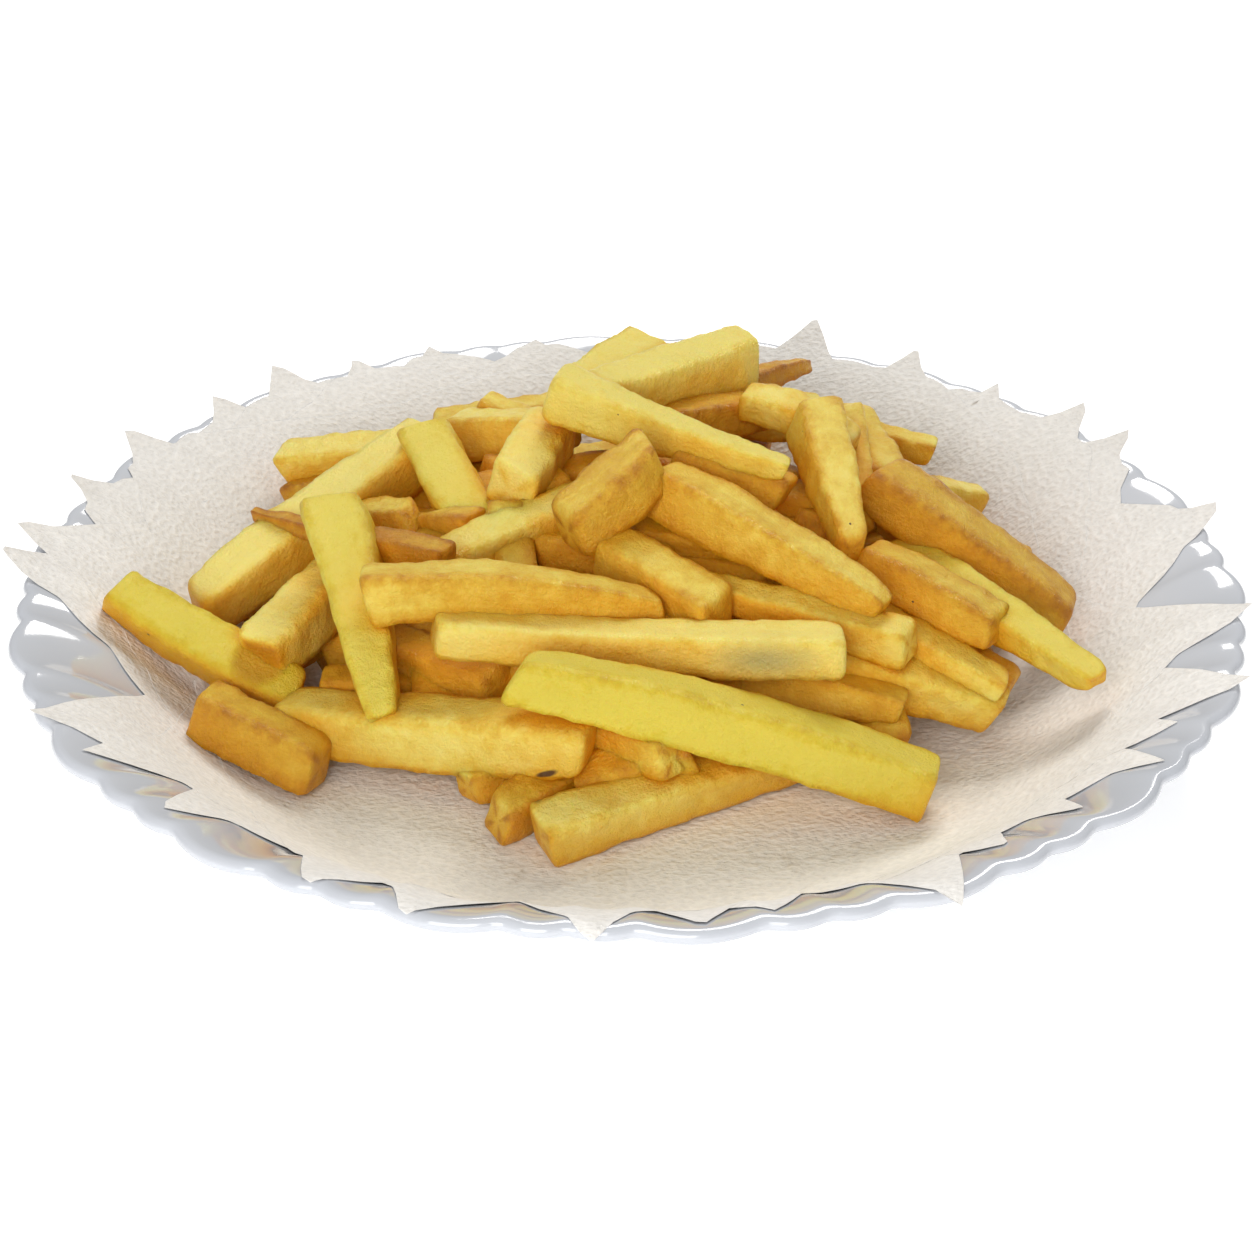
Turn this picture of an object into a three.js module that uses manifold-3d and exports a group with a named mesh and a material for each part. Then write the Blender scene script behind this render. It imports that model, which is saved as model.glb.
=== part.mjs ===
// A portion of french fries: a heap of thick-cut fries on paper, in a fluted white plate.
// Millimetres, +Z up. The origin is the middle of the plate's foot, on the table; -Y is the front.
import * as THREE from "three";
import { mergeVertices } from "three/addons/utils/BufferGeometryUtils.js";
import Module from "manifold-3d";

// Plate
const PLATE_RADIUS = 120;
const PLATE_HEIGHT = 36;
const FLOOR_TOP = 6; // top of the plate's flat floor
const FLOOR_UNDER = 2.6; // underside of the floor, inside the foot ring
const FLOOR_RADIUS = 74;
const WALL_FOOT = { r: 84, z: 10.6 };
const WALL_TOP = { r: 104, z: 28.2 };
const FLARE = { r: 113, z: 33.8 }; // where the rim turns outwards
const RIM = { r: 118.6, z: PLATE_HEIGHT };
const UPPER_FACE = [
  { r: 0, z: FLOOR_TOP }, { r: FLOOR_RADIUS, z: FLOOR_TOP }, WALL_FOOT, WALL_TOP, FLARE, RIM,
];
const WALL_DROP = 4.1; // the wall's thickness, measured upright
const LIP_DROP = 2.6; // the lip's
const FOOT_RING = { outer: 70, inner: 66, slope: 2 };

// The rim repeats 18 times: one wide lobe and two narrow ones.
const RIM_REPEATS = 18;
const RIM_PERIOD = 360 / RIM_REPEATS;
const RIM_PHASE = -4.7; // degrees, the middle of a wide lobe
const WIDE_HALF = 4.9; // half of a wide lobe, degrees
const NARROW_MIDDLE = (WIDE_HALF + RIM_PERIOD / 2) / 2;
const NARROW_HALF = RIM_PERIOD / 2 - NARROW_MIDDLE;
const WIDE_DEPTH = 3; // how far a notch lies inside a wide lobe
const NARROW_DEPTH = 1.7;
const LIP_SCALLOP = 0.8; // how much of the scallop the outermost edge keeps

// Paper liner: square sheets fanned round the plate, so that its outline is a ring of corners.
const PAPER_LIFT = 1.7; // above the plate, measured upright
const PAPER_THICKNESS = 0.8;
const CORNER_HALF_ANGLE = 36; // of a sheet's corner, degrees, as the pleats draw it in
const SHOULDER_HALF_ANGLE = 58; // of the corners at the back, up to where the paper meets the rim
const SHOULDER_GAIN = 1.5; // how soon the corners widen from the sides to the back
const SHORT_OF_RIM = 1;
const CORNER_SPREAD = 45; // how far from its tip a corner reaches, degrees
const PAPER_RISE = 32; // slope of a corner past the rim, degrees
const PAPER_DROOP = -25; // slope of a corner that hangs over the rim
const PAPER_BENDS = [0.7, 0.9]; // where the paper follows the wall, as shares of its way up
// [angle in degrees, reach of the corner from the middle along the paper, 1 if it hangs over the rim]
const CORNERS = [
  [9.5, 135.5], [27, 135.5], [34.5, 135.5], [45, 132], [56.5, 134], [69, 138], [79, 129.5],
  [89, 129], [101, 129.5], [113.5, 130.5], [123, 131.5], [132, 136], [141, 134], [153, 135.5],
  [164, 135], [174.5, 135.5], [180.5, 137], [209, 132.5], [215, 125], [227, 125.5],
  [244.5, 130.5, 1], [253, 131, 1], [267, 133, 1], [275.5, 127, 1], [281, 127, 1],
  [295, 132.5, 1], [304, 121], [313, 121], [322.5, 126], [330, 123], [337.5, 131.5], [350.5, 132.5],
];

// Fries
const FRY_GAP = 0.4; // between the fries and the paper, measured upright
// The middle lines of the top fries lie about on this dome.
const HEAP = { x: 2, y: 20, radiusX: 88, radiusY: 62, low: 11.5, rise: 46, power: 0.75 };
const CORE_DEPTH = 24; // how far the packed core lies under that dome
const CORE_SHARE = 0.84; // its radii, as a share of the dome's
const CORE_SIDES = 24;
const CORE_RINGS = [1, 0.92, 0.72, 0.4]; // as shares of its own radii
const CORE_FOOT = 1; // height of its upright edge
const FRY_CORNER = 0.28; // bevel of a fry's edges, as a share of its width
// A fry's stations: the share of its length, and its size there.
const FRY_MIDDLE = 0.5;
const FRY_STATIONS = [[0, 0.8], [0.07, 1], [FRY_MIDDLE, 1], [0.93, 1], [1, 0.8]];
const STRAIGHT = 1; // a fry that bows up less than this has no station in its middle
const SHORT_STATIONS = [[0, 0.95], [1, 0.95]]; // a short fry has plain ends
const SHORT = 30;
const GOLDEN_ANGLE = 137.5;
const UNDER = { count: 12, share: 0.7, depth: 13 }; // fries hidden in the heap: how far out, how deep
const SEED = 11;
const SIMPLIFY = 0.1; // slivers thinner than this are merged away

// Fries that show from the front, lowest first: the middle of one end, the middle of the other,
// the width, the width of each end as a share of it, and how far the middle bows up.
const FRONT_FRIES = [
  [-101, -5, 33, -65, -18, 15, 12, 0.8, 1, 0],
  [-76, 58, 30, -43, 53, 35, 10.5, 1, 1, 0],
  [-75, 54, 25, -56, 48, 29, 8, 1, 1, 0],
  [-82, -28, 20, -58, -39, 14, 11, 0.9, 1, 0],
  [-16, -61, 13, 35, -33, 13, 10, 1, 0.7, 1],
  [-30, -45, 13, -13, -30, 15, 8.5, 1, 1, 0],
  [-24, -56, 13, -6, -36, 13, 9, 1, 1, 0],
  [10, -38, 21, 11, -15, 18, 8, 1, 1, 0],
  [-9, -47, 15, 11, -45, 21, 8, 1, 1, 0],
  [-11, -35, 21, 8, -50, 23, 8.5, 1, 1, 0],
  [-60, -17, 17, -14, -19, 19, 9, 1, 1, 0],
  [-70, 24, 22, -52, 18, 26, 8, 1, 1, 0],
  [-48, -12, 24, -25, -25, 23, 9, 1, 1, 0],
  [-33, 62, 42, -15, 54, 38, 8, 1, 1, 0],
  [-38, 54, 39, -12, 41, 46, 9.5, 1, 1, 0],
  [13, 48, 48, 40, 77, 46, 6, 1, 0.5, 1],
  [8, 36, 50, 29, 51, 47, 8, 1, 1, 0],
  [46, 60, 38, 66, 52, 36, 7.5, 1, 0.8, 0],
  [48, 32, 35, 77, 18, 17, 9, 1, 0.9, 0],
  [43, 1, 29, 74, -19, 19, 8.5, 1, 0.9, 0],
  [54, 12, 31, 88, -30, 27, 9.5, 1, 0.55, 1],
  [9, 17, 50, 31, 10, 46, 8, 1, 1, 0],
  [-88, 6, 22, -43, 46, 41, 12, 1, 1, 0],
  [-43, 40, 45, -29, 12, 33, 12, 1, 0.9, 0],
  [-12, 50, 50, 5, 72, 51, 11, 1, 1, 0],
  [-8, 33, 55, 26, 62, 54, 12, 1, 1, 0],
  [48, 58, 42, 53, 29, 40, 8.5, 1, 1, 0],
  [46, 48, 47, 46, 14, 38, 8, 1, 1, 0],
  [24, 43, 52, 46, 29, 48, 8.5, 1, 0.9, 2],
  [-49, 25, 31, -31, 11, 39, 9, 1, 1, 0],
  [-59, 25, 32, -44, 16, 38, 8, 1, 1, 0],
  [27, -16, 28, 71, -24, 17, 11, 1, 0.75, 0],
  [33, -4, 33, 71, -25, 22, 8.5, 1, 0.9, 0],
  [13, -10, 37, 53, -24, 31, 8.5, 0.6, 1, 0],
  [-5, -1, 40, 17, -21, 35, 10.5, 1, 1, 1],
  [1, 5, 39, 24, 4, 37, 9, 1, 1, 0],
  [-38, 0, 36, -3, 18, 43, 9, 1, 1, 0],
  [18, -22, 25, 52, -29, 21, 8.5, 1, 0.8, 0],
  [46, -1, 38, 71, -16, 30, 9.5, 1, 1, 0],
  [-78, 24, 35, -36, -7, 40, 7, 0.4, 1.1, 0],
  [-24, 14, 45, -16, 38, 48, 11, 1, 1, 0],
  [-71, -17, 24, -59, 8, 28, 11, 1, 1, 0],
  [-66, -25, 15, -7, -46, 23, 12, 0.95, 1, 0],
  [-58, 6, 44, -46, -37, 23, 12, 1, 0.55, 0],
  [-50, -20, 40, 6, -20, 38, 10.5, 1, 0.45, 2],
  [49, 19, 45, 88, 3, 21, 12.5, 1, 0.95, 1],
  [37, 32, 54, 43, -4, 41, 10.5, 1, 0.6, 1],
  [4, 8, 50, 48, -20, 37, 10.5, 1, 0.55, 1],
  [-37, -25, 35, 40, -30, 34, 10, 0.9, 1, -1],
  [-21, -43, 36, 56, -46, 14, 11.5, 0.8, 0.9, 2],
  [-12, -4, 45, 5, 6, 57, 10, 1, 1, 0],
  [-16, 31, 60, 31, 8, 53, 12, 0.95, 0.35, -1],
];

// Fries down the far side, in the same terms.
const BACK_FRIES = [
  [-54, 66, 19, -2, 83, 18, 9.5, 1, 0.9, 1],
  [4, 80, 17, 56, 62, 17, 10, 0.9, 1, 0],
  [58, 58, 17, 83, 26, 22, 9.5, 1, 0.8, 0],
  [-60, 40, 20, -34, 58, 28, 9.5, 1, 1, 0],
  [-30, 88, 24, -16, 53, 32, 9.5, 0.7, 1, 0],
  [8, 93, 27, 3, 62, 32, 10, 1, 1, 0],
  [30, 88, 24, 24, 58, 30, 9, 0.8, 1, 1],
  [52, 75, 25, 42, 50, 33, 10, 1, 1, 0],
  [76, 48, 25, 58, 42, 30, 9.5, 0.9, 1, 0],
  [-8, 60, 42, 42, 62, 40, 9.5, 1, 1, 0],
  [-44, 64, 35, 12, 76, 38, 9, 0.9, 0.7, 1],
  [2, 78, 38, 54, 60, 37, 9, 1, 0.8, 1],
];

const wasm = await Module();
wasm.setup();
const radians = THREE.MathUtils.degToRad;
const { lerp, clamp } = THREE.MathUtils;

// Solid helpers

function solidOf(geometry) {
  const bare = geometry.clone();
  bare.deleteAttribute("normal");
  bare.deleteAttribute("uv");
  const merged = mergeVertices(bare, 1e-4);
  return new wasm.Manifold(new wasm.Mesh({
    numProp: 3,
    vertProperties: merged.attributes.position.array,
    triVerts: new Uint32Array(merged.index.array),
  }));
}

function geometryOf(solid) {
  const mesh = solid.getMesh();
  const geometry = new THREE.BufferGeometry();
  geometry.setAttribute("position", new THREE.BufferAttribute(mesh.vertProperties, 3));
  geometry.setIndex(new THREE.BufferAttribute(mesh.triVerts, 1));
  geometry.computeVertexNormals();
  return geometry;
}

// A closed surface through rings of points. The first and last rings are single points.
// A ring may have as many points as the one before it, half as many, or twice as many.
function ringSurface(rings) {
  const points = rings.flat();
  const start = [];
  rings.reduce((sum, ring) => {
    start.push(sum);
    return sum + ring.length;
  }, 0);
  const faces = [];
  for (let k = 0; k + 1 < rings.length; k++) {
    const [a, b] = [rings[k].length, rings[k + 1].length];
    const [from, to] = [start[k], start[k + 1]];
    const steps = Math.max(a, b);
    for (let i = 0; i < steps; i++) {
      const [a0, a1] = [i, i + 1].map((n) => from + (Math.floor((n * a) / steps) % a));
      const [b0, b1] = [i, i + 1].map((n) => to + (Math.floor((n * b) / steps) % b));
      if (b0 !== b1) faces.push(a0, b1, b0);
      if (a0 !== a1) faces.push(a0, a1, b1);
    }
  }
  const geometry = new THREE.BufferGeometry();
  geometry.setAttribute("position", new THREE.Float32BufferAttribute(points.flat(), 3));
  geometry.setIndex(faces);
  return geometry;
}

// Plate

// The angles where the rim is modelled: each notch, and the middle of each lobe and of its halves.
const RIM_ANGLES = Array.from({ length: RIM_REPEATS }, (_, n) => n * RIM_PERIOD + RIM_PHASE)
  .flatMap((middle) => [
    -RIM_PERIOD / 2, -NARROW_MIDDLE, -WIDE_HALF, -WIDE_HALF / 2,
    0, WIDE_HALF / 2, WIDE_HALF, NARROW_MIDDLE,
  ].map((offset) => middle + offset));
const FLOOR_ANGLES = RIM_ANGLES.filter((_, n) => n % 2 === 0);

// How far the scalloped wall lies inside its widest circle, at an angle.
function notch(angle) {
  const turn = angle - RIM_PHASE + RIM_PERIOD / 2;
  const offset = turn - RIM_PERIOD * Math.floor(turn / RIM_PERIOD) - RIM_PERIOD / 2;
  const wide = Math.abs(offset) / WIDE_HALF;
  if (wide <= 1) return WIDE_DEPTH * wide * wide;
  const narrow = (Math.abs(offset) - NARROW_MIDDLE) / NARROW_HALF;
  return WIDE_DEPTH - NARROW_DEPTH * (1 - narrow * narrow);
}

function ring(angles, r, z, scallop) {
  return angles.map((angle) => {
    const radius = r - scallop * notch(angle);
    return [radius * Math.cos(radians(angle)), radius * Math.sin(radians(angle)), z];
  });
}

// How much of the scallop shows at a radius of the wall.
function scallopAt(r) {
  return clamp((r - FLOOR_RADIUS) / (RIM.r - FLOOR_RADIUS), 0, 1);
}

// A value read off a list of stations at even steps between them, such as z against r.
function readOff(stations, from, to, value) {
  const last = stations.findIndex((station) => station[from] >= value);
  if (last <= 0) return stations.at(last)[to];
  const [a, b] = [stations[last - 1], stations[last]];
  return lerp(a[to], b[to], (value - a[from]) / (b[from] - a[from]));
}

// Height of the plate's upper face on the flat floor and up the wall.
function plateHeight(r) {
  return readOff(UPPER_FACE, "r", "z", r);
}

function plateRing(angles, r, lift = 0) {
  return ring(angles, r, plateHeight(r) + lift, scallopAt(r));
}

function plate() {
  return ringSurface([
    [[0, 0, FLOOR_UNDER]],
    ring(FLOOR_ANGLES, FOOT_RING.inner - FOOT_RING.slope, FLOOR_UNDER, 0),
    ring(FLOOR_ANGLES, FOOT_RING.inner, 0, 0),
    ring(FLOOR_ANGLES, FOOT_RING.outer, 0, 0),
    plateRing(FLOOR_ANGLES, WALL_FOOT.r, -WALL_DROP),
    plateRing(RIM_ANGLES, WALL_TOP.r, -WALL_DROP),
    plateRing(RIM_ANGLES, RIM.r, -LIP_DROP),
    ring(RIM_ANGLES, PLATE_RADIUS, PLATE_HEIGHT - LIP_DROP / 2, LIP_SCALLOP),
    plateRing(RIM_ANGLES, RIM.r),
    plateRing(RIM_ANGLES, FLARE.r),
    plateRing(RIM_ANGLES, WALL_TOP.r),
    plateRing(FLOOR_ANGLES, WALL_FOOT.r),
    plateRing(FLOOR_ANGLES, FLOOR_RADIUS),
    [[0, 0, FLOOR_TOP]],
  ]);
}

// Paper liner

// The plate's upper face with the reach of each station from the middle, measured along it.
const ON_PLATE = UPPER_FACE.reduce((stations, { r, z }) => {
  const before = stations.at(-1) ?? { r, z, reach: 0 };
  return [...stations, { r, z, reach: before.reach + Math.hypot(r - before.r, z - before.z) }];
}, []);
const REACH = {
  foot: readOff(ON_PLATE, "r", "reach", WALL_FOOT.r),
  top: readOff(ON_PLATE, "r", "reach", WALL_TOP.r),
  flare: readOff(ON_PLATE, "r", "reach", FLARE.r),
  rim: readOff(ON_PLATE, "r", "reach", RIM.r),
};

// The corner that makes the outline at an angle, and how far the paper reaches there.
function cornerAt(angle) {
  const half = radians(CORNER_HALF_ANGLE);
  const back = clamp(SHOULDER_GAIN * Math.sin(radians(angle)), 0, 1);
  let best = { reach: 0, over: false };
  for (const [middle, tip, over] of CORNERS) {
    const aside = Math.abs(((angle - middle + 540) % 360) - 180);
    if (aside > CORNER_SPREAD) continue;
    const wide = lerp(half, radians(SHOULDER_HALF_ANGLE), back);
    const reachOf = (corner) => (tip * Math.sin(corner)) / Math.sin(corner + radians(aside));
    const reach = Math.max(reachOf(half), Math.min(reachOf(wide), REACH.rim - SHORT_OF_RIM));
    if (reach > best.reach) best = { reach, over: Boolean(over) };
  }
  return best;
}

// The point of the paper at a reach from the middle, measured along the paper.
function paperPoint(angle, reach, over, lift) {
  const onPlate = Math.min(reach, REACH.rim);
  const past = reach - onPlate;
  const slope = radians(over ? PAPER_DROOP : PAPER_RISE);
  const r = readOff(ON_PLATE, "reach", "r", onPlate);
  const z = plateHeight(r) + past * Math.sin(slope);
  return ring([angle], r + past * Math.cos(slope), z + lift, scallopAt(r))[0];
}

function liner() {
  const ringsAt = (lift) => {
    const edge = RIM_ANGLES.map((angle) => [angle, cornerAt(angle)]);
    const part = (share, most) => edge.map(([angle, { reach, over }]) =>
      paperPoint(angle, Math.min(lerp(REACH.foot, reach, share), most), over, lift));
    return [
      [[0, 0, FLOOR_TOP + lift]],
      plateRing(FLOOR_ANGLES, FLOOR_RADIUS, lift),
      plateRing(FLOOR_ANGLES, WALL_FOOT.r, lift),
      part(PAPER_BENDS[0], REACH.top),
      part(PAPER_BENDS[1], REACH.flare),
      part(1, Infinity),
    ];
  };
  const under = ringsAt(PAPER_LIFT);
  const upper = ringsAt(PAPER_LIFT + PAPER_THICKNESS);
  return ringSurface([...under, ...upper.reverse()]);
}

// The room above the paper, which the heap is kept inside.
function roomAbovePaper() {
  const lift = PAPER_LIFT + PAPER_THICKNESS + FRY_GAP;
  return ringSurface([
    [[0, 0, FLOOR_TOP + lift]],
    plateRing(FLOOR_ANGLES, FLOOR_RADIUS, lift),
    plateRing(FLOOR_ANGLES, WALL_FOOT.r, lift),
    plateRing(RIM_ANGLES, WALL_TOP.r, lift),
    plateRing(RIM_ANGLES, RIM.r, lift),
    ring(FLOOR_ANGLES, RIM.r, 3 * PLATE_HEIGHT, 1),
    [[0, 0, 3 * PLATE_HEIGHT]],
  ]);
}

// Fries

let seed = SEED;
function draw(low, high) {
  seed = (seed * 16807) % 2147483647;
  return low + (high - low) * (seed / 2147483647);
}

// Height of the dome that the top fries' middle lines lie on.
function domeHeight(x, y) {
  const out = ((x - HEAP.x) / HEAP.radiusX) ** 2 + ((y - HEAP.y) / HEAP.radiusY) ** 2;
  return HEAP.low + HEAP.rise * Math.max(0, 1 - out) ** HEAP.power;
}

const PAPER_TOP = PAPER_LIFT + PAPER_THICKNESS + FRY_GAP;
const CORE_BASE = FLOOR_TOP + PAPER_TOP;

// Height of the packed core at a share of its own radius.
function coreHeight(share) {
  const rise = HEAP.low + HEAP.rise - CORE_DEPTH - CORE_BASE;
  return CORE_BASE + rise * Math.max(0, 1 - share * share) ** HEAP.power;
}

// A point of a fry: u along it from its middle, v across, and w up its own thickness.
function along(fry, u, v, w = 0) {
  const [cos, sin] = [Math.cos(radians(fry.heading)), Math.sin(radians(fry.heading))];
  const flat = Math.sqrt(1 - fry.rise ** 2);
  const out = u * flat - w * fry.rise;
  return [fry.x + out * cos - v * sin, fry.y + out * sin + v * cos, fry.z + u * fry.rise + w * flat];
}

// A fry between the middles of its two ends.
function fryBetween([x1, y1, z1, x2, y2, z2, width, start, end, bow]) {
  const length = Math.hypot(x2 - x1, y2 - y1, z2 - z1);
  return {
    x: (x1 + x2) / 2, y: (y1 + y2) / 2, z: (z1 + z2) / 2,
    heading: (Math.atan2(y2 - y1, x2 - x1) * 180) / Math.PI,
    rise: (z2 - z1) / length, length, width, start, end, bow,
  };
}

// Hidden fries, spiralling out from the heap's middle at a set depth under the dome.
function underFries() {
  return Array.from({ length: UNDER.count }, (_, k) => {
    const out = UNDER.share * Math.sqrt((k + 0.5) / UNDER.count);
    const angle = radians(k * GOLDEN_ANGLE);
    const x = HEAP.x + HEAP.radiusX * out * Math.cos(angle);
    const y = HEAP.y + HEAP.radiusY * out * Math.sin(angle);
    const [turn, reach, width] = [radians(draw(0, 180)), draw(21, 28), draw(8.5, 10)];
    const ends = [-reach, reach].map((u) => {
      const [px, py] = [x + u * Math.cos(turn), y + u * Math.sin(turn)];
      return [px, py, Math.max(domeHeight(px, py) - UNDER.depth, CORE_BASE + width / 2)];
    });
    return fryBetween([...ends.flat(), width, 1, 1, 0]);
  });
}

// A bevelled square bar, tapered to its ends and bowed.
function frySolid(fry) {
  const across = [
    [1, -1], [1, 1], [-1, 1], [-1, -1],
  ].flatMap(([a, b]) => {
    const bevel = 1 - 2 * FRY_CORNER;
    return a === b ? [[a, b * bevel], [a * bevel, b]] : [[a * bevel, b], [a, b * bevel]];
  });
  const stations = fry.length < SHORT
    ? SHORT_STATIONS
    : FRY_STATIONS.filter(([share]) => share !== FRY_MIDDLE || Math.abs(fry.bow) > STRAIGHT);
  const rings = stations.map(([share, size]) => {
    const half = (fry.width / 2) * size * lerp(fry.start, fry.end, share);
    const lift = fry.bow * (1 - (2 * share - 1) ** 2);
    return across.map(([v, w]) => along(fry, (share - 0.5) * fry.length, v * half, w * half + lift));
  });
  const ends = [-0.5, 0.5].map((u) => [along(fry, u * fry.length, 0)]);
  return solidOf(ringSurface([ends[0], ...rings, ends[1]]));
}

function coreSolid() {
  const turn = Array.from({ length: CORE_SIDES }, (_, n) => radians((n * 360) / CORE_SIDES));
  const ringAt = (share, z) => turn.map((angle) => [
    HEAP.x + HEAP.radiusX * CORE_SHARE * share * Math.cos(angle),
    HEAP.y + HEAP.radiusY * CORE_SHARE * share * Math.sin(angle),
    z,
  ]);
  return solidOf(ringSurface([
    [[HEAP.x, HEAP.y, CORE_BASE]],
    ...CORE_RINGS.map((share) => ringAt(share, coreHeight(share) + (share === 1 ? CORE_FOOT : 0))),
    [[HEAP.x, HEAP.y, coreHeight(0)]],
  ]));
}

function fries() {
  const laid = [...underFries(), ...[...FRONT_FRIES, ...BACK_FRIES].map(fryBetween)];
  const heap = laid.reduce((sum, fry) => sum.add(frySolid(fry)), coreSolid());
  const kept = heap.intersect(solidOf(roomAbovePaper())).simplify(SIMPLIFY);
  const parts = kept.decompose().sort((a, b) => b.volume() - a.volume());
  return geometryOf(parts[0]);
}

// The portion

function piece(name, geometry, material) {
  const mesh = new THREE.Mesh(geometry, new THREE.MeshStandardMaterial(material));
  mesh.name = name;
  return mesh;
}

const portion = new THREE.Group();
portion.add(
  piece("plate", plate(), { color: 0xe6e9ee, roughness: 0.12, metalness: 0 }),
  piece("liner", liner(), { color: 0xe4ded2, roughness: 0.9, metalness: 0 }),
  piece("fries", fries(), { color: 0xe0bc4c, roughness: 0.45, metalness: 0 }),
);

export default portion;
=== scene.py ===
"""French fries on paper in a fluted white plate: the fine meshes, their finish, the floor and the light."""
import math

import bpy
import numpy as np
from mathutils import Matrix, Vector, noise


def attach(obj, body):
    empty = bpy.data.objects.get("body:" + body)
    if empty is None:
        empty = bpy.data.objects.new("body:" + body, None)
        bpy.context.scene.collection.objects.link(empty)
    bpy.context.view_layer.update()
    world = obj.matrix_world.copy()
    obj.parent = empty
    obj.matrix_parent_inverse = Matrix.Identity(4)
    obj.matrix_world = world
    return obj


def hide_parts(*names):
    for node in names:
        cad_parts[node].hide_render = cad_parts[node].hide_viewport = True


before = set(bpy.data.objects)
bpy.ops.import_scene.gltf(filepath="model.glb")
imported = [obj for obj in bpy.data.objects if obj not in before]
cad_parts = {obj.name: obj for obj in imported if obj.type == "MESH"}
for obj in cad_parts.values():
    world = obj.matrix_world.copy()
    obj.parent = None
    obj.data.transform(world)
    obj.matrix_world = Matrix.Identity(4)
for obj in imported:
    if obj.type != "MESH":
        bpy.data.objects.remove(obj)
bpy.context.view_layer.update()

MM = 0.001

# Camera, in millimetres and degrees
EYE = (0, -397.3, 247.3)
LOOK_DOWN = 29.66
LENS = 65.03
SENSOR = 36

# Plate, as in the CAD model, in millimetres
FLOOR_TOP = 6
FLOOR_UNDER = 2.6
FLOOR_RADIUS = 74
UPPER_FACE = [(0, 6), (74, 6), (84, 10.6), (104, 28.2), (113, 33.8), (118.6, 36)]
RIM_R = 118.6
PAST_LIP = (126, 37.4)
WALL_DROP = 4.1
LIP_HALF = 1.3
FILLET = 4.5
RIM_PERIOD = 20
RIM_PHASE = -4.7
WIDE_HALF = 4.9
NARROW_MIDDLE = (WIDE_HALF + RIM_PERIOD / 2) / 2
NARROW_HALF = RIM_PERIOD / 2 - NARROW_MIDDLE
WIDE_DEPTH = 3
NARROW_DEPTH = 1.7
RIDGE_SOFTNESS = 0.6

# Paper: napkins fanned round the plate, lowest first. Each corner is (angle in degrees,
# reach from the middle along the paper, 1 if it hangs over the rim).
FLOOR_LIFT = 1.7
WALL_LIFT = 0.15
PAPER_THICKNESS = 0.05
PAPER_STEP = 0.055
PAPER_RISE = 32
PAPER_SPAN = 0.14
FLUTE_TOP = WIDE_DEPTH
CORNER_HALF = 34
SHOULDER_HALF = {"front": 34, "back": 58, "gain": 1.5, "short_of_rim": 1}
PRESSED = {"share": 0.95, "reach": 6}
SIDE_DRAWN_IN = 0.94
SHEETS = [
    [(27, 135.5, 0), (113.5, 130.5, 0), (209, 132.5, 0), (295, 132.5, 1)],
    [(101, 129.5, 0), (190, 110, 0), (281, 127, 1), (16, 112, 0)],
    [(69, 138, 0), (164, 135, 0), (253, 131, 1), (337.5, 131.5, 0)],
    [(9.5, 135.5, 0), (89, 129, 0), (180.5, 137, 0), (275.5, 127, 1)],
    [(45, 132, 0), (141, 134, 0), (227, 125.5, 0), (322.5, 126, 0)],
    [(132, 136, 0), (221, 106, 0), (304, 121, 0), (40, 112, 0)],
    [(79, 129.5, 0), (174.5, 135.5, 0), (267, 133, 1), (350.5, 132.5, 0)],
    [(34.5, 135.5, 0), (123, 131.5, 0), (215, 125, 0), (313, 121, 0)],
    [(56.5, 134, 0), (153, 135.5, 0), (244.5, 130.5, 1), (330, 123, 0)],
]

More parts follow.
